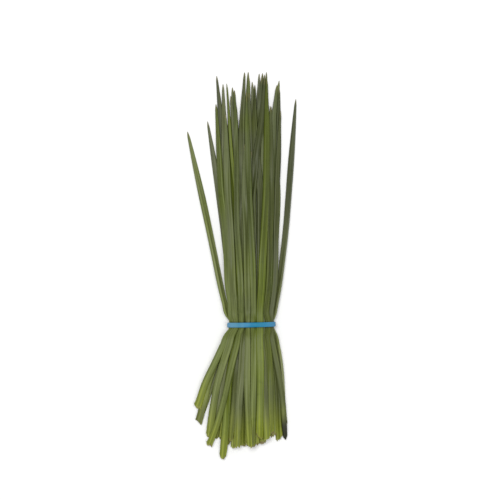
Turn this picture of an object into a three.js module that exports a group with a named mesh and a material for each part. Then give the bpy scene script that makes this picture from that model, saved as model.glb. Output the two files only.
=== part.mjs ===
// A bunch of fresh-cut chives held by one elastic band, lying on a table.
// Millimetres, +Z up. The leaves run along Y, cut ends towards -Y and tips towards +Y.
// The origin is on the table under the middle of the band.
import * as THREE from "three";

// ---------- the bunch ----------
const LEAF_COUNT = 50;
const SEED = 20;
const BAND_HALF_ACROSS = 13.2; // the band's inner half width
const BAND_HALF_HIGH = 7.4; // its inner half height
const BAND_WIDE = 2.8; // along the leaves
const BAND_THICK = 0.9;
const BAND_LEAN = 0.02; // rise along +Y for each mm towards +X
const BAND_FOOT = 0.35; // height by which the band's lowest stretch is pressed flat on the table

// ---------- a leaf: a hollow tube pressed flat ----------
const LEAF_WIDE = [3.5, 4.3]; // widest part of the thinnest and the stoutest leaf
const LEAF_THICK = [1.6, 2.05];
const BAND_PINCH = { wide: 0.1, thick: 0.33 }; // share that the band takes off a leaf
const PINCH_REACH = 15; // and how far along that is felt
const NECK = { reach: 6, across: 1, up: 0.5 }; // how the bunch widens for each mm just past the band
const TAPER_LENGTH = 42; // the last stretch before the tip
const TIP_SHARE = 0.24; // what is left of the width at the very tip
const TIP_LEAST_THICK = 0.64;
const WALL = 0.46; // of the hollow at the cut end
const BORE_DEPTH = 6;
const SIDES = 8;
const SHARP_TWIST = 0.6; // radians from one ring of a leaf to the next, past which a ring goes between
const MOST_DIVISIONS = 2;
const LEAST_STEP = 3; // from an end of the leaf to the next ring
const GAP = 0.07; // kept free round each leaf

// Planes across the bunch in which every leaf has a section.
const STATIONS = [
  -79, -69, -58, -45, -33, -22, -12, -5, -1.9, 1.9, 5, 12, 22, 38, 56, 75, 97, 117, 131, 141, 152,
];
// How far the bunch spreads to the left and right of the band's middle, at some of those planes.
const SPREAD = [
  { y: -80, left: -31, right: 18.2 },
  { y: -62, left: -31, right: 18.2 },
  { y: -31, left: -27.6, right: 18.4 },
  { y: -12, left: -18.4, right: 16.4 },
  { y: -5, left: -14.6, right: 14.2 },
  { y: -2, left: -12, right: 12 },
  { y: 2, left: -12, right: 12 },
  { y: 5, left: -13, right: 12.8 },
  { y: 20, left: -14.2, right: 14 },
  { y: 42, left: -15.5, right: 15.2 },
  { y: 75, left: -21.8, right: 12.2 },
  { y: 110, left: -27, right: 17.5 },
  { y: 148, left: -33, right: 25.5 },
];
const BAND_MIDDLE_Z = BAND_THICK + BAND_HALF_HIGH - BAND_FOOT;
const FAN = { base: 1.35, tip: 2 }; // powers: the outer leaves fan out more than the inner ones
// Leaves that lie apart from the rest: where each starts in the band (-1 to 1 across and up), its two
// ends, and its path as [y, x] points.
const STRAYS = [
  {
    across: -0.97, up: 0.1, base: -57, tip: 112,
    path: [
      [-57, -30], [-31, -25], [-12, -16.6], [9, -14.9], [20, -17.7], [32, -20], [43, -21.8], [60, -25.5],
      [72, -28], [112, -37.5],
    ],
  },
  {
    across: 0.97, up: 0.1, base: -57, tip: 131,
    path: [
      [-57, 18.8], [-31, 17.7], [-20, 16.6], [-9, 14.9], [9, 13.4], [20, 15.8], [32, 17.5], [49, 19.6],
      [60, 20.8], [72, 21.5], [100, 23.4], [131, 26],
    ],
  },
  {
    across: -0.9, up: 0.35, base: -48, tip: 128,
    path: [[-48, -31.4], [-31, -26.8], [-20, -19.8], [-12, -16.4]],
  },
  { across: -0.8, up: -0.5, base: -55, tip: 118, path: [[-55, -29.6], [-31, -22.5]] },
  { across: -0.75, up: 0.6, base: -65, tip: 122, path: [[-65, -24.3], [-50, -22.5], [-31, -19.5]] },
  {
    across: -0.45, up: 0.8, base: -70, tip: 136,
    path: [[-70, -25.3], [-61, -20.2], [-50, -17], [-31, -12.5]],
  },
  { across: -0.5, up: 0.6, base: -77, tip: 140, wide: 4.5, path: [[-77, -16.8], [-61, -15], [-31, -13]] },
  {
    across: 0.85, up: 0.4, base: -65.7, tip: 124, wide: 3.1,
    path: [
      [-66, 17.8], [-61, 19.4], [-45, 18.6], [-31, 16.4], [22, 13.8], [40, 14.8], [54, 13.6], [72, 13],
      [124, 17],
    ],
  },
];
// The knife's line through the other leaves, as [across, y] points for their places in the band, and
// how unevenly they slipped along it.
const CUT_LINE = [
  [-0.8, -65], [-0.45, -66.5], [-0.3, -70], [-0.12, -68.2], [0.1, -68.4], [0.3, -67], [0.6, -64.4], [1, -65],
];
const CUT_UNEVEN = 2;
// Where their tips end, more of them far out than near.
const TIP_ENDS = { range: [94, 147], power: 1.7 };
// How far a leaf strays sideways at a place that far from the band, and the power it grows with.
const TIP_LEAN = { size: 7, place: 130, power: 1.6 };
const BASE_LEAN = { size: 3, place: 60, power: 1.3 };
const FACE_TURN = 0.2; // radians that its flat face is turned at first

// ---------- chance and in-between values ----------
function seededRandom(seed) {
  let state = seed;
  return () => {
    state = (state + 0x6d2b79f5) | 0;
    let t = Math.imul(state ^ (state >>> 15), 1 | state);
    t = (t + Math.imul(t ^ (t >>> 7), 61 | t)) ^ t;
    return ((t ^ (t >>> 14)) >>> 0) / 4294967296;
  };
}
const random = seededRandom(SEED);
const mix = (a, b, share) => a + (b - a) * share;
const between = ([low, high], share) => mix(low, high, share);
const swing = () => random() + random() + random() - 1.5; // about a bell curve, -1.5 to 1.5

// The value at y of a list of [y, value] pairs, straight between them and level past the ends.
function valueAt(y, pairs) {
  const after = pairs.findIndex(([at]) => at >= y);
  if (after === 0) return pairs[0][1];
  if (after < 0) return pairs[pairs.length - 1][1];
  const [y0, v0] = pairs[after - 1];
  const [y1, v1] = pairs[after];
  return v0 + ((v1 - v0) * (y - y0)) / (y1 - y0);
}
const leftPairs = SPREAD.map(({ y, left }) => [y, left]);
const rightPairs = SPREAD.map(({ y, right }) => [y, right]);

// ---------- the plan: which leaf starts where in the band, and how long and stout it is ----------
// Sunflower order fills an oval evenly.
function ovalPlaces(count) {
  const goldenAngle = Math.PI * (3 - Math.sqrt(5));
  return Array.from({ length: count }, (_, i) => {
    const reach = Math.sqrt((i + 0.5) / count);
    return { across: reach * Math.cos(i * goldenAngle), up: reach * Math.sin(i * goldenAngle) };
  });
}

function planLeaves() {
  const places = ovalPlaces(LEAF_COUNT);
  const planned = STRAYS.map((stray) => {
    const far = (p) => Math.hypot(p.across - stray.across, p.up - stray.up);
    const nearest = places.reduce((best, p) => (far(p) < far(best) ? p : best));
    places.splice(places.indexOf(nearest), 1);
    return { ...stray, hold: STRAY_HOLD };
  });
  places.forEach((place) => {
    const end = 1 - random() ** TIP_ENDS.power;
    planned.push({
      ...place,
      base: valueAt(place.across, CUT_LINE) + CUT_UNEVEN * swing(),
      tip: between(TIP_ENDS.range, end),
      hold: HOLD,
    });
  });
  return planned.map((leaf) => {
    const stout = random();
    return {
      wide: between(LEAF_WIDE, stout),
      ...leaf,
      thick: between(LEAF_THICK, stout),
      turn: swing() * FACE_TURN,
      leanTop: swing() * TIP_LEAN.size,
      leanBase: swing() * BASE_LEAN.size,
    };
  });
}

// The section at y, pinched by the band and tapering to the tip: the radius of its two rounded
// edges, and half the distance between them.
function sectionSize(leaf, y, swell = 1) {
  const pinch = Math.exp(-((y / PINCH_REACH) ** 2));
  const toTip = THREE.MathUtils.clamp((leaf.tip - y) / TAPER_LENGTH, 0, 1);
  const taper = TIP_SHARE + (1 - TIP_SHARE) * Math.sin((toTip * Math.PI) / 2);
  const wide = leaf.wide * taper * (1 - BAND_PINCH.wide * pinch);
  const thick = leaf.thick * taper * (1 - BAND_PINCH.thick * pinch);
  const radius = (swell * Math.max(thick, TIP_LEAST_THICK)) / 2;
  return { radius, half: Math.max((swell * wide) / 2 - radius, 0.1) };
}

// Where the leaf would lie across the bunch with nothing in its way.
function restingX(leaf, y) {
  const inBand = leaf.across * valueAt(0, rightPairs);
  const ownWay = (leaf.path ?? []).filter(([at]) => at * y > 0);
  if (ownWay.length) return valueAt(y, [[0, inBand], ...ownWay].sort((a, b) => a[0] - b[0]));
  const outermost = Math.abs(valueAt(y, leaf.across < 0 ? leftPairs : rightPairs));
  const power = y < 0 ? FAN.base : FAN.tip;
  const flare = (outermost - valueAt(0, rightPairs)) * Math.abs(leaf.across) ** power;
  const leanTop = leaf.leanTop * (Math.max(y, 0) / TIP_LEAN.place) ** TIP_LEAN.power;
  const leanBase = leaf.leanBase * (Math.max(-y, 0) / BASE_LEAN.place) ** BASE_LEAN.power;
  return inBand + Math.sign(leaf.across) * flare + (leanTop + leanBase);
}

// ---------- the settling: leaves lie on each other and on the table, and pass through the band ----------
const SETTLE_STEPS = 480;
const SUBPLANES = 4; // places tested for touching between two stations
const END_MARGIN = 3; // how far past its ends a leaf still keeps the others off
const START_THIN = 0.5; // leaves start thinner and swell to full size, so that none is trapped in another
const QUIET_FROM = 0.8; // the last share of the steps only parts the leaves that still touch
const PUSH_EASE = 0.6;
const START_FLATTER = { share: 0.25, reach: 60, inset: 1.2 }; // the heap at first, next to the band's oval
const WEIGHT = 0.03; // how far a leaf sinks in one step, away from the band
const WEIGHT_FROM = 20; // full weight past this distance from the band
const SHAKE = 0.12; // and how far it may be shaken
const HOLD = 0.03; // how firmly a leaf keeps to its own way
const STRAY_HOLD = 0.4;
const STIFFNESS = 0.3;
const TWIST_EASE = 0.25;
const LEVELLING = 0.04; // how much of its slope across a leaf loses in one step: the bunch is pressed flat
const NARROW = 0.45; // a section whose edges are closer to its middle than this turns with the last one
const IN_BAND = STATIONS.findIndex((y) => y > 0);

// A leaf is kept as its two edge lines: edge[0] and edge[1] hold an [x, z] pair for each station.
function layOut(leaf) {
  leaf.sizes = STATIONS.map((y) => sectionSize(leaf, y));
  leaf.goal = STATIONS.map((y) => restingX(leaf, y));
  const centres = STATIONS.map((y, k) => {
    const flatter = 1 - START_FLATTER.share * Math.min(Math.abs(y) / START_FLATTER.reach, 1);
    const height = BAND_MIDDLE_Z + leaf.up * (BAND_HALF_HIGH - START_FLATTER.inset);
    return [leaf.goal[k], height * flatter];
  });
  leaf.edge = [-1, 1].map((side) =>
    centres.map(([x, z], k) => [
      x + side * leaf.sizes[k].half * Math.cos(leaf.turn),
      z + side * leaf.sizes[k].half * Math.sin(leaf.turn),
    ]),
  );
}

// Nearest ends of two short lines p0-p1 and q0-q1 in a plane, as shares along each, and the gap there,
// which is negative where the lines cross.
function nearest(p0, p1, q0, q1) {
  const shareOn = (a, b, x, z) => {
    const dx = b[0] - a[0];
    const dz = b[1] - a[1];
    return THREE.MathUtils.clamp(((x - a[0]) * dx + (z - a[1]) * dz) / (dx * dx + dz * dz), 0, 1);
  };
  let best = null;
  const offer = (s, t) => {
    const dx = mix(q0[0], q1[0], t) - mix(p0[0], p1[0], s);
    const dz = mix(q0[1], q1[1], t) - mix(p0[1], p1[1], s);
    const distance = Math.hypot(dx, dz);
    if (!best || distance < best.distance) best = { s, t, dx, dz, distance };
  };
  offer(0, shareOn(q0, q1, ...p0));
  offer(1, shareOn(q0, q1, ...p1));
  offer(shareOn(p0, p1, ...q0), 0);
  offer(shareOn(p0, p1, ...q1), 1);
  const sideOf = (a, b, c) => Math.sign((b[0] - a[0]) * (c[1] - a[1]) - (b[1] - a[1]) * (c[0] - a[0]));
  const crossed = sideOf(p0, p1, q0) !== sideOf(p0, p1, q1) && sideOf(q0, q1, p0) !== sideOf(q0, q1, p1);
  best.gap = (crossed ? -1 : 1) * Math.max(best.distance, 1e-3);
  return best;
}

const planes = [];
STATIONS.slice(0, -1).forEach((y, k) => {
  for (let i = 0; i < SUBPLANES; i++) {
    const share = i / SUBPLANES;
    planes.push({ k, share, y: mix(y, STATIONS[k + 1], share) });
  }
});

// A leaf's section in a plane between two stations.
function sectionIn(leaf, { k, share }) {
  const at = (edge) => [mix(edge[k][0], edge[k + 1][0], share), mix(edge[k][1], edge[k + 1][1], share)];
  return {
    edges: [at(leaf.edge[0]), at(leaf.edge[1])],
    radius: mix(leaf.sizes[k].radius, leaf.sizes[k + 1].radius, share),
    half: mix(leaf.sizes[k].half, leaf.sizes[k + 1].half, share),
  };
}

function push(leaf, { k, share }, side, dx, dz) {
  const total = (1 - share) ** 2 + share ** 2;
  [[k, 1 - share], [k + 1, share]].forEach(([station, weight]) => {
    leaf.edge[side][station][0] += (dx * weight) / total;
    leaf.edge[side][station][1] += (dz * weight) / total;
  });
}

function pushApart(leaves, plane, ease) {
  const here = leaves
    .filter((leaf) => plane.y > leaf.base - END_MARGIN && plane.y < leaf.tip + END_MARGIN)
    .map((leaf) => ({ leaf, ...sectionIn(leaf, plane) }));
  for (let i = 0; i < here.length; i++) {
    for (let j = i + 1; j < here.length; j++) {
      const a = here[i];
      const b = here[j];
      const room = a.radius + b.radius + GAP * 2;
      const reach = room + a.half + b.half;
      const midX = a.edges[0][0] + a.edges[1][0] - b.edges[0][0] - b.edges[1][0];
      const midZ = a.edges[0][1] + a.edges[1][1] - b.edges[0][1] - b.edges[1][1];
      if (Math.abs(midX) > 2 * reach || Math.abs(midZ) > 2 * reach) continue;
      const touch = nearest(a.edges[0], a.edges[1], b.edges[0], b.edges[1]);
      if (touch.gap >= room) continue;
      const away = (ease * (room - touch.gap)) / 2 / touch.gap;
      const spreadA = (1 - touch.s) ** 2 + touch.s ** 2;
      const spreadB = (1 - touch.t) ** 2 + touch.t ** 2;
      [1 - touch.s, touch.s].forEach((w, side) => {
        const step = (-away * w) / spreadA;
        push(a.leaf, plane, side, touch.dx * step, touch.dz * step);
        a.edges[side][0] += touch.dx * step;
        a.edges[side][1] += touch.dz * step;
      });
      [1 - touch.t, touch.t].forEach((w, side) => {
        const step = (away * w) / spreadB;
        push(b.leaf, plane, side, touch.dx * step, touch.dz * step);
        b.edges[side][0] += touch.dx * step;
        b.edges[side][1] += touch.dz * step;
      });
    }
  }
}

// Inside the band an edge point stays within the band's oval, less the leaf's own radius, and just
// past the band within an oval that widens.
function keepInBand(leaf) {
  STATIONS.forEach((y, k) => {
    if (Math.abs(y) > NECK.reach) return;
    const past = Math.max(Math.abs(y) - BAND_WIDE, 0);
    const inset = leaf.sizes[k].radius + 2 * GAP;
    const across = BAND_HALF_ACROSS + NECK.across * past - inset;
    const high = BAND_HALF_HIGH + NECK.up * past - inset;
    leaf.edge.forEach((edge) => {
      const out = Math.hypot(edge[k][0] / across, (edge[k][1] - BAND_MIDDLE_Z) / high);
      if (out > 1) {
        edge[k][0] /= out;
        edge[k][1] = BAND_MIDDLE_Z + (edge[k][1] - BAND_MIDDLE_Z) / out;
      }
      if (past === 0) edge[k][1] = Math.max(edge[k][1], BAND_THICK + inset);
    });
  });
}

// A leaf that runs aslant is cut aslant by a plane across the bunch, so it measures wider there.
function keepWidth(leaf) {
  STATIONS.forEach((_, k) => {
    const [a, b] = [leaf.edge[0][k], leaf.edge[1][k]];
    const before = Math.max(k - 1, 0);
    const after = Math.min(k + 1, STATIONS.length - 1);
    const slope = (leaf.edge[0][after][0] - leaf.edge[0][before][0]) / (STATIONS[after] - STATIONS[before]);
    const { radius, half } = leaf.sizes[k];
    const dx = b[0] - a[0];
    const dz = b[1] - a[1];
    const long = Math.hypot(dx, dz);
    const aslant = (radius + half) * Math.hypot(1, slope) - radius;
    const pull = (long - 2 * aslant) / 2 / long;
    a[0] += dx * pull;
    a[1] += dz * pull;
    b[0] -= dx * pull;
    b[1] -= dz * pull;
  });
}

function keepOnTable(leaf) {
  leaf.edge.forEach((edge) =>
    edge.forEach((point, k) => {
      point[1] = Math.max(point[1], leaf.sizes[k].radius);
    }),
  );
}

function straighten(leaf) {
  leaf.edge.forEach((edge) => {
    for (let k = 1; k < STATIONS.length - 1; k++) {
      const share = (STATIONS[k] - STATIONS[k - 1]) / (STATIONS[k + 1] - STATIONS[k - 1]);
      [0, 1].forEach((axis) => {
        const line = mix(edge[k - 1][axis], edge[k + 1][axis], share);
        edge[k][axis] += STIFFNESS * (line - edge[k][axis]);
      });
    }
  });
}

// Stations past an end of the leaf carry it straight on.
function carryOn(leaf) {
  const carry = (edge, k, from, before) => {
    const share = (STATIONS[k] - STATIONS[before]) / (STATIONS[from] - STATIONS[before]);
    edge[k] = [0, 1].map((axis) => mix(edge[before][axis], edge[from][axis], share));
  };
  leaf.edge.forEach((edge) => {
    for (let k = IN_BAND; k < STATIONS.length; k++) {
      if (STATIONS[k] > leaf.tip) carry(edge, k, k - 1, k - 2);
    }
    for (let k = IN_BAND; k >= 0; k--) {
      if (STATIONS[k] < leaf.base) carry(edge, k, k + 1, k + 2);
    }
  });
}

// A leaf resists twisting, and most of all where it is narrow. Both edges of a section are alike, so
// where they would cross over from the last section, they change places first.
function resistTwist(leaf, ease) {
  const [left, right] = leaf.edge;
  const follow = (k, from) => {
    const across = (at) => [0, 1].map((axis) => right[at][axis] - left[at][axis]);
    let [x, z] = across(k);
    const [fromX, fromZ] = across(from);
    if (x * fromX + z * fromZ < 0) {
      [left[k], right[k]] = [right[k], left[k]];
      [x, z] = [-x, -z];
    }
    const share = leaf.sizes[k].half < NARROW ? 1 : ease;
    const scale = Math.hypot(x, z) / Math.hypot(fromX, fromZ);
    const step = [(fromX * scale - x) * share, (fromZ * scale - z) * share];
    [0, 1].forEach((axis) => {
      left[k][axis] -= step[axis] / 2;
      right[k][axis] += step[axis] / 2;
    });
  };
  for (let k = IN_BAND + 1; k < STATIONS.length; k++) follow(k, k - 1);
  for (let k = IN_BAND - 1; k >= 0; k--) follow(k, k + 1);
}

function level(leaf) {
  const [left, right] = leaf.edge;
  left.forEach((point, k) => {
    const drop = (LEVELLING * (right[k][1] - point[1])) / 2;
    point[1] += drop;
    right[k][1] -= drop;
  });
}

function settle(leaves) {
  leaves.forEach(layOut);
  for (let step = 0; step < SETTLE_STEPS; step++) {
    const done = step / SETTLE_STEPS;
    const moving = done < QUIET_FROM;
    const swell = Math.min(1, START_THIN + done);
    leaves.forEach((leaf) => {
      leaf.sizes = STATIONS.map((y) => sectionSize(leaf, y, swell));
      if (moving) {
        leaf.edge.forEach((edge) =>
          edge.forEach((point, k) => {
            const sink = WEIGHT * Math.min(Math.abs(STATIONS[k]) / WEIGHT_FROM, 1);
            point[1] += SHAKE * swing() * (1 - done) - sink;
            const middle = (leaf.edge[0][k][0] + leaf.edge[1][k][0]) / 2;
            point[0] += leaf.hold * (leaf.goal[k] - middle);
          }),
        );
        level(leaf);
        straighten(leaf);
        carryOn(leaf);
      }
      resistTwist(leaf, moving ? TWIST_EASE : 0);
      keepWidth(leaf);
    });
    planes.forEach((plane) => pushApart(leaves, plane, PUSH_EASE));
    leaves.forEach((leaf) => {
      keepInBand(leaf);
      keepOnTable(leaf);
    });
  }
}

// ---------- solids ----------
// The ring of a section: half of its points round one edge, half round the other. inset thins it.
function ring(edges, radius, y, inset) {
  const [a, b] = edges;
  const turn = Math.atan2(b[1] - a[1], b[0] - a[0]);
  return Array.from({ length: SIDES }, (_, i) => {
    const angle = ((i + 0.5) / SIDES) * 2 * Math.PI - Math.PI / 2;
    const centre = i < SIDES / 2 ? b : a;
    const reach = radius - inset;
    return new THREE.Vector3(
      centre[0] + reach * Math.cos(turn + angle),
      y,
      centre[1] + reach * Math.sin(turn + angle),
    );
  });
}

function sectionAt(leaf, y) {
  const k = Math.max(STATIONS.findIndex((at) => at > y) - 1, 0);
  const share = (y - STATIONS[k]) / (STATIONS[k + 1] - STATIONS[k]);
  return { ...sectionIn(leaf, { k, share }), ...sectionSize(leaf, y) };
}

// How far d lies outside the face a, b, c.
function outsideOf(a, b, c, d) {
  const out = b.clone().sub(a).cross(c.clone().sub(a)).normalize();
  return d.clone().sub(a).dot(out);
}

// A closed skin through rings that follow each other: caps close the first and the last. Where a leaf
// twists, each four-sided face is folded inwards, so that it keeps clear of the leaves beside it.
function skin(rings) {
  const points = rings.flat();
  const faces = [];
  const size = rings[0].length;
  for (let k = 0; k < rings.length - 1; k++) {
    for (let i = 0; i < size; i++) {
      const a = k * size + i;
      const b = k * size + ((i + 1) % size);
      const [c, d] = [a + size, b + size];
      if (outsideOf(points[a], points[c], points[b], points[d]) > 0) faces.push(a, c, b, b, c, d);
      else faces.push(a, c, d, a, d, b);
    }
  }
  const last = (rings.length - 1) * size;
  for (let i = 1; i < size - 1; i++) {
    faces.push(0, i, i + 1);
    faces.push(last, last + i + 1, last + i);
  }
  return new THREE.BufferGeometry().setFromPoints(points).setIndex(faces);
}

// Where the rings of a leaf are: at its ends and stations, and closer together where it twists sharply.
function ringPlaces(leaf) {
  const turnAt = (y) => {
    const [a, b] = sectionAt(leaf, y).edges;
    return Math.atan2(b[1] - a[1], b[0] - a[0]);
  };
  const divide = (from, to, times) => {
    const sharp = Math.cos(turnAt(from) - turnAt(to)) < Math.cos(SHARP_TWIST);
    if (!sharp || times === 0) return [to];
    const middle = (from + to) / 2;
    return [...divide(from, middle, times - 1), ...divide(middle, to, times - 1)];
  };
  const inside = STATIONS.filter((y) => y > leaf.base + LEAST_STEP && y < leaf.tip - LEAST_STEP);
  const places = [leaf.base, ...inside, leaf.tip];
  return [leaf.base, ...places.slice(1).flatMap((y, i) => divide(places[i], y, MOST_DIVISIONS))];
}

function leafGeometry(leaf) {
  const places = ringPlaces(leaf);
  const ringAt = (y, inset) => {
    const { edges, radius } = sectionAt(leaf, y);
    return ring(edges, radius, y, inset);
  };
  // The hollow: from its blind end out to the cut, then on as the outside.
  const blindEnd = leaf.base + BORE_DEPTH;
  const hollow = places.filter((y) => y < blindEnd - LEAST_STEP / 2);
  const bore = [...hollow, blindEnd].reverse().map((y) => ringAt(y, WALL));
  return skin([...bore, ...places.map((y) => ringAt(y, 0))]);
}

const GREENS = ["#5a6739", "#66713f", "#74804a"];

function makeLeaf(leaf, index) {
  const material = new THREE.MeshStandardMaterial({
    color: GREENS[index % GREENS.length],
    roughness: 0.5,
    metalness: 0,
  });
  const mesh = new THREE.Mesh(leafGeometry(leaf), material);
  mesh.name = `chive_leaf_${String(index + 1).padStart(2, "0")}`;
  return mesh;
}

// The band: a strip with rounded edges, stretched round the leaves, flat where it lies on the table.
function makeBand() {
  const steps = 48;
  const corner = 0.3; // of the strip's cut edges
  const strip = [
    [-BAND_WIDE / 2, corner],
    [-BAND_WIDE / 2 + corner, 0],
    [BAND_WIDE / 2 - corner, 0],
    [BAND_WIDE / 2, corner],
    [BAND_WIDE / 2, BAND_THICK - corner],
    [BAND_WIDE / 2 - corner, BAND_THICK],
    [-BAND_WIDE / 2 + corner, BAND_THICK],
    [-BAND_WIDE / 2, BAND_THICK - corner],
  ];
  const points = [];
  const faces = [];
  for (let i = 0; i < steps; i++) {
    const angle = ((i + 0.5) / steps) * 2 * Math.PI;
    strip.forEach(([along, out]) => {
      const x = (BAND_HALF_ACROSS + out) * Math.cos(angle);
      const z = BAND_MIDDLE_Z + (BAND_HALF_HIGH + out) * Math.sin(angle);
      points.push(new THREE.Vector3(x, along + BAND_LEAN * x, Math.max(z, BAND_THICK - out)));
    });
    strip.forEach((_, j) => {
      const next = (j + 1) % strip.length;
      const here = i * strip.length;
      const ahead = ((i + 1) % steps) * strip.length;
      faces.push(here + j, ahead + j, here + next, ahead + j, ahead + next, here + next);
    });
  }
  const material = new THREE.MeshStandardMaterial({ color: "#2f86c6", roughness: 0.55, metalness: 0 });
  const mesh = new THREE.Mesh(new THREE.BufferGeometry().setFromPoints(points).setIndex(faces), material);
  mesh.name = "elastic_band";
  return mesh;
}

const leaves = planLeaves();
settle(leaves);

const bunch = new THREE.Group();
bunch.name = "chive_bunch";
leaves.forEach((leaf, index) => bunch.add(makeLeaf(leaf, index)));
bunch.add(makeBand());

export default bunch;
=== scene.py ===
import math

import bpy
import numpy as np
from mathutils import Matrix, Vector


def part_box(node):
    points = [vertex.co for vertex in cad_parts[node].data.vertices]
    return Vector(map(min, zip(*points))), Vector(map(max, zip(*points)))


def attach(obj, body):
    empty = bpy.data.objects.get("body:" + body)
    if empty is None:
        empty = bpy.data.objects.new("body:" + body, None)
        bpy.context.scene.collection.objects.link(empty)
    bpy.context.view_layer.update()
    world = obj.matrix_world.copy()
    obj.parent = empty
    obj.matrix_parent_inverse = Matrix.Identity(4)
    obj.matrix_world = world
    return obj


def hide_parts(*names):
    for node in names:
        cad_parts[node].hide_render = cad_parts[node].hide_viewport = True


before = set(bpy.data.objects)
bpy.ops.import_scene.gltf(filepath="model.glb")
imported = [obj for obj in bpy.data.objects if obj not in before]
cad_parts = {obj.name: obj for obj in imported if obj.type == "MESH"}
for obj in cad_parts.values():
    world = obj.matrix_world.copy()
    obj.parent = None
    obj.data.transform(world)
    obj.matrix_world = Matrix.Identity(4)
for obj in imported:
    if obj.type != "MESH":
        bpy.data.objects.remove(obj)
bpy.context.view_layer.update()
bpy.ops.object.select_all(action="DESELECT")


# ---------------------------------------------------------------- chive leaves
# Fifty separate chive leaves: long hollow green tubes, pressed flat by their neighbours, ribbed finely
# along their length, closed to a point at the tip and open where a knife cut them across.
# Each is a sheet rolled round the sections of its own solid.
ROUND_THE_LEAF = 44  # faces round it, and rows of them up its outside and down its hollow
UP_THE_LEAF = 116
DOWN_THE_HOLLOW = 8
NEAR_CUT, ROWS_NEAR_CUT = 0.007, 14  # the rows lie closer together near the cut and near the tip
NEAR_TIP, ROWS_NEAR_TIP = 0.008, 12
HOLLOW_DEPTH = 0.013
LEAF_WALL = 0.00034
INSIDE_SOLID = 0.985  # a little slimmer than its solid, to leave room for the wander of its growth
FLARED_END = 0.005  # how far up from the cut the section is flatter or flared
CLOSING_TIP = 0.0035
SQUARENESS = 0.62  # the power that presses the round edges squarer, and what it gains at the cut
ROUNDER_AT_CUT = 0.3
FINE_RIBS = 11
RIB_HEIGHT = 0.024  # as a share of half the leaf's thickness
RIBS_FADE = 0.03  # how far from the tip the ribs begin to fade
SINK_BREADTH = 0.16
SLANT_FADE = 0.006  # how far up from the cut its slant and its torn rim are felt
TORN_FADE = 0.0024
TORN_DEPTH = 0.001
STAINED_RIM = 0.0005
SOLID_HOLLOW = 0.006  # the hollow's depth in the leaf's own solid
FLAT_TURN = 0.9239  # how far an eight-sided ring reaches, for each mm of its round edge
SAME_PLACE = 0.00001
CLEAR_OF_TABLE = 0.00002
NOTHING = 1e-9  # stands in for zero where something is divided by it

# What the finish reads from each point: the painted highlights on its folds, the cut and its hollow, the
# leaf's own tone, the painted shade towards its tip, its wilting, and the mm from its cut and from its tip.
LEAF_MARKS = ("fold_highlights", "cut", "tone", "painted_tip_shade", "wilted", "from_cut", "from_tip")


def leaf_sections(solid):
    """Sections along a leaf's solid: place along it, middle, turn, half width and half thickness."""
    points = np.empty(len(solid.data.vertices) * 3)
    solid.data.vertices.foreach_get("co", points)
    points = np.unique(points.reshape(-1, 3).round(7), axis=0)
    places = np.unique(points[:, 1].round(5))
    blind_end = places[0] + SOLID_HOLLOW
    sections = []
    for place in places[np.abs(places - blind_end) > 2 * SAME_PLACE]:
        ring = points[np.abs(points[:, 1] - place) < SAME_PLACE][:, [0, 2]]
        middle = ring.mean(0)
        wide = np.linalg.eigh((ring - middle).T @ (ring - middle))[1][:, 1]
        thick = np.array([-wide[1], wide[0]])
        edge = np.abs((ring - middle) @ thick).max() / FLAT_TURN
        half = np.abs((ring - middle) @ wide).max() + edge * (1 - FLAT_TURN)
        sections.append((place, *middle, math.atan2(wide[1], wide[0]), half, edge))
    sections = np.array(sections)
    sections[:, 3] = np.unwrap(sections[:, 3] * 2) / 2
    return sections


def leaf_line(at, places, values):
    """A supple line through one value of each section."""
    step = np.diff(places)
    slope = np.diff(values) / step
    bend = np.zeros(len(places))
    bend[0], bend[-1] = slope[0], slope[-1]
    bend[1:-1] = (slope[:-1] * step[1:] + slope[1:] * step[:-1]) / (step[1:] + step[:-1])
    k = np.clip(np.searchsorted(places, at) - 1, 0, len(step) - 1)
    t = np.clip((at - places[k]) / step[k], 0, 1)
    return (
        (2 * t**3 - 3 * t**2 + 1) * values[k]
        + (t**3 - 2 * t**2 + t) * step[k] * bend[k]
        + (3 * t**2 - 2 * t**3) * values[k + 1]
        + (t**3 - t**2) * step[k] * bend[k + 1]
    )


def growth_wave(rng, along, length, size):
    """The gentle wander that growth leaves along a leaf."""
    shares = (1, 0.63, 0.41)
    shifts = rng.uniform(0, 2 * math.pi, len(shares))
    waves = (np.sin(2 * math.pi * along / (length * share) + shift) for share, shift in zip(shares, shifts))
    return size * sum(waves) / len(shares)


def walk_round(column, half, edge):
    """Each column on a section with flat faces and round edges: how far it has turned, slid, and its edge."""
    flat = np.maximum(half - edge, 0)
    radius = np.maximum(edge, NOTHING)
    girth = 2 * math.pi * edge + 4 * flat
    walked = column / ROUND_THE_LEAF * girth
    quarter, straight = math.pi * edge / 2, 2 * flat
    right_edge = (walked < quarter) | (walked >= 3 * quarter + 2 * straight)
    upper = (walked >= quarter) & (walked < quarter + straight)
    left_edge = (walked >= quarter + straight) & (walked < 3 * quarter + straight)
    turned = np.select(
        [walked < quarter, upper, left_edge, walked < 3 * quarter + 2 * straight],
        [walked / radius, math.pi / 2, (walked - straight) / radius, 1.5 * math.pi],
        (walked - 2 * straight) / radius,
    )
    slid = np.select(
        [right_edge, upper, left_edge],
        [flat, flat - (walked - quarter), -flat],
        -flat + (walked - 3 * quarter - straight),
    )
    return turned, slid, right_edge, left_edge


def squared(turn, power):
    """A sine or a cosine whose round is pressed squarer."""
    return np.sign(turn) * np.abs(turn) ** power


def apart(angle):
    """How far an angle is from none, whichever way round."""
    return np.abs((angle + math.pi) % (2 * math.pi) - math.pi)


def torn_rim(rng, around):
    """How a blunt knife tears the rim, as waves round it, the finer the weaker."""
    finest = 8
    waves = (
        rng.normal(0, 0.6) / wave**0.75 * np.sin(wave * around + rng.uniform(0, 2 * math.pi))
        for wave in range(1, finest + 1)
    )
    return np.clip(sum(waves), -1.2, 1.4)


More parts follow.
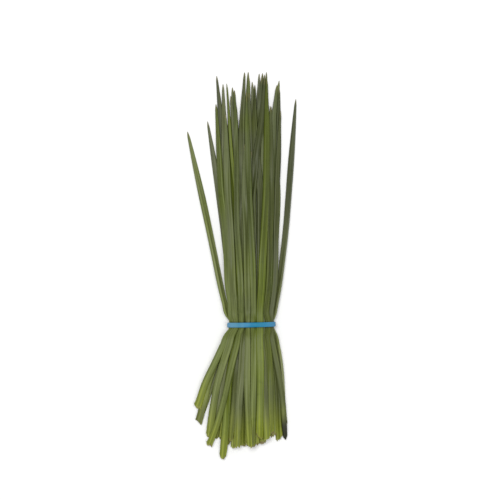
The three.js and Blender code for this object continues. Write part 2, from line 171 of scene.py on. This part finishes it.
def roll_leaf(name, sections, rng, traits):
    """One leaf: a flat grid rolled round its sections, pressed, ribbed and cut."""
    base, tip = sections[0, 0], sections[-1, 0]
    rows = UP_THE_LEAF + DOWN_THE_HOLLOW + 1
    bpy.ops.mesh.primitive_grid_add(x_subdivisions=ROUND_THE_LEAF, y_subdivisions=rows, size=1)
    leaf = bpy.context.object
    leaf.name = leaf.data.name = name
    sheet = np.empty(len(leaf.data.vertices) * 3)
    leaf.data.vertices.foreach_get("co", sheet)
    sheet = sheet.reshape(-1, 3)
    column = np.rint((sheet[:, 0] + 0.5) * ROUND_THE_LEAF).astype(int)
    row = np.rint((sheet[:, 1] + 0.5) * rows).astype(int)

    # Rows: up the hollow from its blind end to the cut, over the rim, then out along the leaf to the tip.
    hollow = row <= DOWN_THE_HOLLOW
    outside = np.interp(
        row - DOWN_THE_HOLLOW - 1,
        (0, ROWS_NEAR_CUT, UP_THE_LEAF - ROWS_NEAR_TIP, UP_THE_LEAF),
        (0, NEAR_CUT, tip - base - NEAR_TIP, tip - base),
    )
    along = np.where(hollow, (1 - row / DOWN_THE_HOLLOW) ** 1.5 * HOLLOW_DEPTH, outside)
    y = base + along
    x0, z0, turn, half, edge = (leaf_line(y, sections[:, 0], sections[:, i]) for i in range(1, 6))

    # The section: two flat faces with round edges, flatter or flared at the cut, closing at the tip. The
    # leaves beside it press its edges squarer, apart from the cut end.
    at_cut = np.exp(-((along / FLARED_END) ** 1.5))
    half = half * (INSIDE_SOLID + growth_wave(rng, along, length=0.09, size=0.015))
    half = half * (1 + rng.uniform(-0.16, 0.05) * at_cut)
    edge = edge * (INSIDE_SOLID + growth_wave(rng, along, length=0.06, size=0.015))
    edge = edge * (1 - rng.uniform(0.0, 0.4) * at_cut)
    point = np.sqrt(np.clip((tip - y) / CLOSING_TIP, 0, 1))
    half, edge = half * point, edge * point
    turned, slid, right_edge, left_edge = walk_round(column, half, edge)
    power = SQUARENESS + ROUNDER_AT_CUT * at_cut
    across = slid + edge * squared(np.cos(turned), power)
    up = edge * squared(np.sin(turned), power)

    # The faces sink in along their middle, and fine ribs run the whole length.
    around = 2 * math.pi * column / ROUND_THE_LEAF
    broad = across / np.maximum(half, NOTHING)
    upper_sink, lower_sink = rng.uniform(-0.04, 0.34, 2)
    sink = np.where(up > 0, upper_sink, lower_sink) * (1 + growth_wave(rng, along, length=0.07, size=0.6))
    sink *= np.exp(-((broad - rng.uniform(-0.25, 0.25)) ** 2) / SINK_BREADTH)
    ribs = RIB_HEIGHT * np.cos(FINE_RIBS * around + rng.uniform(0, 6)) * np.clip((tip - y) / RIBS_FADE, 0, 1)

    # Inside the hollow all is a wall's thickness smaller, and its blind end closes.
    radius = np.maximum(edge, NOTHING)
    wall = np.where(hollow, np.minimum(LEAF_WALL, 0.75 * radius), 0)
    closing = np.where(hollow, np.sqrt(np.clip(row / 2, 0, 1)), 1)
    across = across * (1 - wall / np.maximum(half, NOTHING)) * closing
    up = up * (1 + ribs - sink) * (1 - wall / radius) * closing

    # The knife went through at a slant and tore the rim a little, which fades away along the leaf.
    torn = torn_rim(rng, around)
    y = y + (across * traits["slant"] + up * rng.uniform(-0.5, 0.5)) * np.exp(-along / SLANT_FADE)
    rim = (traits["rounded"] * np.abs(broad) ** 3 + TORN_DEPTH * torn) * np.exp(-along / TORN_FADE)
    y = y + np.where(row > 0, rim, 0)

    x = x0 + across * np.cos(turn) - up * np.sin(turn)
    z = z0 + across * np.sin(turn) + up * np.cos(turn)
    place = np.stack([x, y, np.maximum(z, CLEAR_OF_TABLE)], 1)
    leaf.data.vertices.foreach_set("co", place.ravel())

    # Painted highlights run down its two folded edges, one side more than the other, and lighten the shaded
    # gaps between leaves.
    off_right = apart(turned)
    fold_brightness = rng.uniform(0.1, 1, 4)
    right_fold_highlight = np.where(up > 0, fold_brightness[0], fold_brightness[1]) * np.exp(-(off_right**2))
    left_fold_highlight = np.where(up > 0, fold_brightness[2], fold_brightness[3]) * np.exp(-((math.pi - off_right) ** 2))
    fold_highlights = np.where(left_edge, left_fold_highlight, np.where(right_edge, right_fold_highlight, 0))

    values = (
        fold_highlights,
        np.where(hollow, 1.0, np.exp(-along / STAINED_RIM)),
        np.full(len(row), traits["tone"]),
        np.full(len(row), traits.get("painted_tip_shade", rng.uniform(0, 0.6))),
        np.full(len(row), traits["wilted"]),
        along * 1000,
        (tip - base - along) * 1000,
    )
    for label, value in zip(LEAF_MARKS, values):
        leaf.data.attributes.new(label, "FLOAT", "POINT").data.foreach_set("value", value)

    bpy.ops.object.mode_set(mode="EDIT")
    bpy.ops.mesh.select_all(action="SELECT")
    bpy.ops.mesh.remove_doubles(threshold=1e-7)
    bpy.ops.mesh.normals_make_consistent(inside=False)
    bpy.ops.object.mode_set(mode="OBJECT")
    bpy.ops.object.shade_smooth_by_angle(angle=math.radians(55))
    leaf.select_set(False)
    return leaf


def finish(name, gloss):
    """A new finish of some gloss: its material, its node tree and its shader."""
    made = bpy.data.materials.new(name)
    made.use_nodes = True
    shader = made.node_tree.nodes["Principled BSDF"]
    shader.inputs["Specular IOR Level"].default_value = gloss
    return made, made.node_tree, shader


def pattern(tree, kind, feed=None, **settings):
    """A pattern of a finish, fed by another node's output."""
    made = tree.nodes.new(kind)
    for key, value in settings.items():
        if key.startswith("set_"):
            made.inputs[key[4:].replace("_", " ")].default_value = value
        else:
            setattr(made, key, value)
    if feed:
        tree.links.new(feed, made.inputs["Vector"] if "Vector" in made.inputs else made.inputs[0])
    return made


def streaks(tree, wrap, round_and_along, detail):
    """Noise round and along a leaf, drawn out lengthwise."""
    drawn_out = pattern(tree, "ShaderNodeMapping", wrap, set_Scale=(*round_and_along, 1)).outputs["Vector"]
    noise = {"noise_dimensions": "2D", "set_Scale": 1.0, "set_Detail": detail}
    return pattern(tree, "ShaderNodeTexNoise", drawn_out, **noise).outputs["Fac"]


def speckle(tree, here, scale, detail):
    """Noise that is alike all ways."""
    return pattern(tree, "ShaderNodeTexNoise", here, set_Scale=scale, set_Detail=detail).outputs["Fac"]


def relief(tree, height, shader, strength, distance):
    """Fine relief on a shader."""
    made = pattern(tree, "ShaderNodeBump", set_Strength=strength, set_Distance=distance)
    tree.links.new(height, made.inputs["Height"])
    tree.links.new(made.outputs["Normal"], shader.inputs["Normal"])


def tones(tree, feed, stops):
    """A run of colours over what feeds it, from its first stop at 0 to its last at 1."""
    made = pattern(tree, "ShaderNodeValToRGB", feed)
    ramp = made.color_ramp.elements
    ramp[0].color, ramp[1].color = (*stops[0][1], 1), (*stops[-1][1], 1)
    for place, colour in stops[1:-1]:
        ramp.new(place).color = (*colour, 1)
    return made.outputs["Color"]


def fades(tree, feed, start, end, low=0.0, high=1.0):
    """How strongly a coat shows as what feeds it goes from start to end."""
    made = tree.nodes.new("ShaderNodeMapRange")
    made.interpolation_type = "SMOOTHSTEP"
    for entry, value in (("From Min", start), ("From Max", end), ("To Min", low), ("To Max", high)):
        made.inputs[entry].default_value = value
    tree.links.new(feed, made.inputs["Value"])
    return made.outputs["Result"]


def both(tree, one, other):
    """How strongly a coat shows that needs two things at once."""
    made = pattern(tree, "ShaderNodeMath", one, operation="MULTIPLY")
    tree.links.new(other, made.inputs[1])
    return made.outputs[0]


def coats(tree, under, layers):
    """Coats of colour, one over the other: each one's colour, how it is laid on and how strongly."""
    for colour, how, amount in layers:
        made = tree.nodes.new("ShaderNodeMix")
        made.data_type, made.blend_type = "RGBA", how
        tree.links.new(amount, made.inputs["Factor"])
        tree.links.new(under, made.inputs["A"])
        made.inputs["B"].default_value = (*colour, 1)
        under = made.outputs["Result"]
    return under


# The skin is waxy and softly glossy. Each leaf takes its own green from this run of them, by its tone.
LEAF_GREENS = (
    (0.0, (0.038, 0.046, 0.010)),
    (0.14, (0.058, 0.068, 0.020)),
    (0.30, (0.078, 0.090, 0.032)),
    (0.36, (0.096, 0.107, 0.043)),
    (0.45, (0.060, 0.073, 0.012)),
    (0.60, (0.096, 0.114, 0.034)),
    (0.75, (0.089, 0.110, 0.024)),
    (0.90, (0.083, 0.106, 0.010)),
    (1.0, (0.165, 0.19, 0.066)),
)
chive_skin, tree, skin = finish("chive_skin", gloss=0.28)
wrap = pattern(tree, "ShaderNodeUVMap").outputs["UV"]
here = pattern(tree, "ShaderNodeTexCoord").outputs["Object"]
fold_highlights, cut, tone, painted_tip_shade, wilted, from_cut, from_tip = (
    pattern(tree, "ShaderNodeAttribute", attribute_name=label).outputs["Fac"] for label in LEAF_MARKS
)
broad_streaks = streaks(tree, wrap, (6.5, 2.6), 2.0)
fibres = streaks(tree, wrap, (44, 5), 3.0)
veins = streaks(tree, wrap, (90, 6), 2.0)
mottle = speckle(tree, here, 260.0, 3.0)
patches = speckle(tree, here, 42.0, 3.0)
along_leaf = pattern(tree, "ShaderNodeSeparateXYZ", here).outputs["Y"]
off_band = pattern(tree, "ShaderNodeMath", along_leaf, operation="ABSOLUTE").outputs[0]

colour = coats(
    tree,
    tones(tree, tone, LEAF_GREENS),
    (
        # Brighter below the band, darkened towards the tips by painted shade in each leaf's own amount, and
        # yellow near the cut.
        ((1.28, 1.285, 1.19), "MULTIPLY", fades(tree, from_cut, 86, 56)),
        ((0.56, 0.58, 0.66), "MULTIPLY", both(tree, painted_tip_shade, fades(tree, from_cut, 92, 128))),
        ((0.178, 0.208, 0.012), "MIX", fades(tree, from_cut, 25, 3, 0, 0.68)),
        # Broad streaks and fine fibres, each dark and then pale, and painted highlights along the folds.
        ((0.62, 0.64, 0.5), "MULTIPLY", fades(tree, broad_streaks, 0.5, 0.34, 0, 0.62)),
        # The pale broad streaks are partly the skin's own striations and partly a painted highlight.
        ((1.6, 1.55, 2.0), "MULTIPLY", fades(tree, broad_streaks, 0.52, 0.68, 0, 0.46)),
        ((0.6, 0.65, 0.5), "MULTIPLY", fades(tree, fibres, 0.5, 0.34, 0, 0.68)),
        # The pale fibres are partly the skin's own striations and partly a painted highlight.
        ((1.7, 1.65, 1.9), "MULTIPLY", fades(tree, fibres, 0.53, 0.68, 0, 0.45)),
        ((2.0, 1.95, 2.6), "MULTIPLY", fades(tree, fold_highlights, 0, 1, 0, 0.65)),
        # Yellower patches and a darker mottle.
        ((1.03, 1.1, 0.35), "MULTIPLY", fades(tree, patches, 0.5, 0.72, 0, 0.45)),
        ((0.7, 0.74, 0.6), "MULTIPLY", fades(tree, mottle, 0.45, 0.25, 0, 0.5)),
        # Painted shade darkens the leaves near the band, and a painted contact shadow lies in a dark line
        # along each of its edges.
        ((0.9, 0.92, 0.78), "MULTIPLY", fades(tree, off_band, 0.017, 0.004)),
        ((0.3, 0.38, 0.34), "MULTIPLY", fades(tree, off_band, 0.0023, 0.0015, 0, 0.65)),
        # Dried at the very tip, wet and here and there browned at the cut, black where it wilted.
        ((0.2, 0.17, 0.07), "MIX", fades(tree, from_tip, 5, 0, 0, 0.5)),
        ((0.25, 0.255, 0.055), "MIX", fades(tree, cut, 0.2, 1.0, 0, 0.85)),
        ((0.14, 0.095, 0.04), "MIX", both(tree, cut, fades(tree, mottle, 0.48, 0.62, 0, 0.8))),
        ((0.016, 0.017, 0.004), "MIX", both(tree, wilted, fades(tree, from_cut, 17, 6))),
    ),
)
tree.links.new(colour, skin.inputs["Base Color"])
tree.links.new(fades(tree, fibres, 0.2, 0.8, 0.44, 0.6), skin.inputs["Roughness"])
relief(tree, veins, skin, strength=0.35, distance=0.0001)

# Leaves that can be told from the rest: each one's tone, from 0 to 1 in the run of greens, how much painted
# shade darkens it towards its tip, how wilted it is, and its cut, by its slant and by how far the corners are
# rounded off.
LEAVES_APART = {
    1: {"tone": 0.985, "painted_tip_shade": 0.25},
    2: {"tone": 0.36, "painted_tip_shade": 0.8},
    3: {"tone": 0.78},
    5: {"tone": 0.6, "slant": 0.5},
    6: {"tone": 0.66, "slant": 0.35, "rounded": 0.0006},
    7: {"tone": 0.9, "slant": 0.35, "rounded": 0.0013},
    8: {"tone": 0.14, "painted_tip_shade": 0.0, "wilted": 1.0, "slant": 0.5},
    18: {"tone": 0.14},
    28: {"tone": 0.05},
    30: {"tone": 0.6},
    32: {"tone": 0.12},
    35: {"tone": 0.3, "slant": 0.0, "rounded": 0.0003},
    39: {"tone": 0.74},
    41: {"tone": 0.2, "slant": -0.7},
    43: {"tone": 0.45},
    45: {"tone": 0.57},
    48: {"tone": 0.9},
}
SEED = 700
leaves = []
for number, name in enumerate(sorted(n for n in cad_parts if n.startswith("chive_leaf_")), 1):
    rng = np.random.default_rng(SEED + number)
    traits = {
        "tone": rng.uniform(0, 1),
        "slant": rng.uniform(-0.7, 0.7),
        "rounded": rng.uniform(0.0002, 0.0016),
        "wilted": max(0.0, rng.uniform(-1.2, 0.5)),
    }
    traits.update(LEAVES_APART.get(number, {}))
    leaf = roll_leaf(f"green_leaf_{name[-2:]}", leaf_sections(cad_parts[name]), rng, traits)
    leaf.data.materials.append(chive_skin)
    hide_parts(name)
    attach(leaf, "root")
    leaves.append(leaf)


# ---------------------------------------------------------------- elastic band
# One flat strip of light blue rubber, moulded as a ring and stretched once round the leaves. Its edges
# are rounded, and it lies flat where the bunch presses it on the table.
bpy.ops.object.select_all(action="DESELECT")
solid_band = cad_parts["elastic_band"]
solid_band.select_set(True)
bpy.context.view_layer.objects.active = solid_band
bpy.ops.object.duplicate()
band = bpy.context.object
band.name = band.data.name = "blue_rubber_band"
for key in list(band.keys()):
    del band[key]
solid_band.select_set(False)
bpy.ops.object.mode_set(mode="EDIT")
bpy.ops.mesh.select_all(action="SELECT")
bpy.ops.mesh.remove_doubles(threshold=1e-6)
bpy.ops.mesh.tris_convert_to_quads(face_threshold=math.radians(60), shape_threshold=math.radians(80))
bpy.ops.object.mode_set(mode="OBJECT")
rounding = band.modifiers.new("rounding", "SUBSURF")
rounding.levels = rounding.render_levels = 2
bpy.ops.object.modifier_apply(modifier="rounding")
bpy.ops.object.shade_smooth()

# It is deeper blue over its middle, with a painted reflection making it paler towards its ends, and a little
# dusty.
BAND_HALF_WIDE = 0.014
BAND_BLUES_AND_REFLECTION = (
    (0.0, (0.1, 0.265, 0.415)),
    (0.1, (0.078, 0.232, 0.335)),
    (0.34, (0.04, 0.197, 0.346)),
    (0.5, (0.006, 0.16, 0.302)),
    (0.65, (0.006, 0.159, 0.274)),
    (0.9, (0.03, 0.188, 0.33)),
    (1.0, (0.053, 0.21, 0.373)),
)
blue_rubber, tree, rubber = finish("blue_rubber", gloss=0.16)
here = pattern(tree, "ShaderNodeTexCoord").outputs["Object"]
dust = speckle(tree, here, 260.0, 5.0)
stretched = speckle(tree, here, 120.0, 2.0)
from_middle = pattern(tree, "ShaderNodeSeparateXYZ", here).outputs["X"]
colour = coats(
    tree,
    tones(tree, fades(tree, from_middle, -BAND_HALF_WIDE, BAND_HALF_WIDE), BAND_BLUES_AND_REFLECTION),
    (
        ((0.02, 0.17, 0.33), "MIX", fades(tree, stretched, 0.5, 0.7, 0, 0.5)),
        ((0.13, 0.3, 0.45), "MIX", fades(tree, dust, 0.5, 0.75, 0, 0.3)),
    ),
)
tree.links.new(colour, rubber.inputs["Base Color"])
tree.links.new(fades(tree, dust, 0.3, 0.7, 0.45, 0.62), rubber.inputs["Roughness"])
relief(tree, speckle(tree, here, 2600.0, 2.0), rubber, strength=0.3, distance=0.00004)
band.data.materials.clear()
band.data.materials.append(blue_rubber)
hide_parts("elastic_band")
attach(band, "root")
bpy.ops.object.select_all(action="DESELECT")

# Pulled tight, it squeezes the leaves until they fill it: they spread into every gap along its inside,
# fully under the band and less and less further off.
RUBBER_THICK = 0.0009
INSIDE_HALF_HIGH = 0.0074
BAND_LEAN = 0.02
UNDER_BAND = 0.0016
SPREAD_ENDS = 0.008
PRESSED = 0.993  # how far out the leaves reach, as a share of the band's inside
STRAY = 0.3  # a leaf that is this much further out than the rest isn't spread
FREE_OF_BAND = 0.0019  # from here on the leaves may stand out past the band's inside, more and more
STANDING_OUT = 0.006
WAY_STEP = 3  # the ways round the band at which the leaves are measured, in degrees
WAY_REACH = 0.045
band_low, band_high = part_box("elastic_band")
inside_half_wide = (band_high[0] - band_low[0]) / 2 - RUBBER_THICK
inside_middle = band_high[2] - RUBBER_THICK - INSIDE_HALF_HIGH
down_to_table = (inside_middle - 1.05 * RUBBER_THICK) / INSIDE_HALF_HIGH


def from_band(shape):
    """Where points lie seen along the leaves: way round the band, share of the way out, distance off it."""
    wide, high = shape[:, 0] / inside_half_wide, (shape[:, 2] - inside_middle) / INSIDE_HALF_HIGH
    return np.arctan2(high, wide), np.hypot(wide, high), np.abs(shape[:, 1] - BAND_LEAN * shape[:, 0])


leaf_shapes = []
for leaf in leaves:
    shape = np.empty(len(leaf.data.vertices) * 3)
    leaf.data.vertices.foreach_get("co", shape)
    leaf_shapes.append(shape.reshape(-1, 3))
way, out, off = from_band(np.concatenate(leaf_shapes))
way, out = way[off < UNDER_BAND], out[off < UNDER_BAND]
ways = np.radians(np.arange(-180, 180, WAY_STEP))
filled = np.array([out[apart(way - one_way) < WAY_REACH].max() for one_way in ways])
filled = (np.roll(filled, 1) + 2 * filled + np.roll(filled, -1)) / 4
for leaf, shape in zip(leaves, leaf_shapes):
    way, out, off = from_band(shape)
    inside = np.minimum(PRESSED, down_to_table / np.maximum(-np.sin(way), NOTHING))
    reached = np.interp(way, ways, filled, period=2 * math.pi)
    held = np.clip((SPREAD_ENDS - off) / (SPREAD_ENDS - UNDER_BAND), 0, 1)
    held = held**2 * (3 - 2 * held)
    spread = (inside - reached) * np.minimum(out / reached, 1) * np.clip(1 - (out - reached) / STRAY, 0, 1)
    furthest = inside + np.maximum(off - FREE_OF_BAND, 0) / STANDING_OUT
    new_out = np.minimum(out + spread * held, furthest)
    shape[:, [0, 2]] -= (0, inside_middle)
    shape[:, [0, 2]] *= (new_out / np.maximum(out, NOTHING))[:, None]
    shape[:, [0, 2]] += (0, inside_middle)
    shape[:, 2] = np.maximum(shape[:, 2], CLEAR_OF_TABLE)
    leaf.data.vertices.foreach_set("co", shape.ravel())
    leaf.data.update()


# ---------------------------------------------------------------- table
# The surface that the bunch lies on, level with its lowest point: one plain pale sheet of matt board,
# much larger than the bunch, so that no edge of it shows.
TABLE_SIZE = 6
bpy.ops.mesh.primitive_plane_add(size=TABLE_SIZE, location=(0, 0, 0))
table = bpy.context.object
table.name = "pale_table"
pale_matt, tree, board = finish("pale_matt", gloss=0.1)
board.inputs["Base Color"].default_value = (0.84, 0.84, 0.84, 1)
board.inputs["Roughness"].default_value = 0.9
table.data.materials.append(pale_matt)
bpy.ops.object.select_all(action="DESELECT")


# ---------------------------------------------------------------- light and camera
# A white tent of soft light with two square lamps nearly overhead: one to the upper left, and a weaker
# one to the right. A long lens looks straight down on the bunch.
TENT_GLOW = 0.45
world = bpy.data.worlds.new("white_tent")
bpy.context.scene.world = world
world.use_nodes = True
world.node_tree.nodes["Background"].inputs["Color"].default_value = (1, 1, 1, 1)
world.node_tree.nodes["Background"].inputs["Strength"].default_value = TENT_GLOW

LAMP_SIZE = 0.45
LIT_SPOT = Vector((0, 0.04, 0))


def soft_lamp(name, place, power):
    """A square lamp that is turned to the bunch."""
    lamp = bpy.data.lights.new(name, "AREA")
    lamp.size = LAMP_SIZE
    lamp.energy = power
    holder = bpy.data.objects.new(name, lamp)
    bpy.context.scene.collection.objects.link(holder)
    holder.location = place
    holder.rotation_euler = (LIT_SPOT - Vector(place)).to_track_quat("-Z", "Y").to_euler()


soft_lamp("upper_left_lamp", (-0.15, 0.25, 1.75), power=17.6)
soft_lamp("right_lamp", (0.24, -0.05, 1.75), power=9.7)

BUNCH_MIDDLE = Vector((-0.0008, 0.0431, 0.008))
CAMERA_HEIGHT = 1.5
PICTURE_WIDTH = 0.289
SENSOR_WIDTH = 36
lens = bpy.data.cameras.new("long_lens")
lens.sensor_width = SENSOR_WIDTH
lens.lens = SENSOR_WIDTH * CAMERA_HEIGHT / PICTURE_WIDTH
lens.clip_start = 0.05
lens.clip_end = 20
camera = bpy.data.objects.new("camera_above", lens)
bpy.context.scene.collection.objects.link(camera)
camera.location = BUNCH_MIDDLE + Vector((0, 0, CAMERA_HEIGHT))
camera.rotation_euler = (0, 0, 0)
bpy.context.scene.camera = camera
bpy.context.scene.view_settings.view_transform = "Standard"
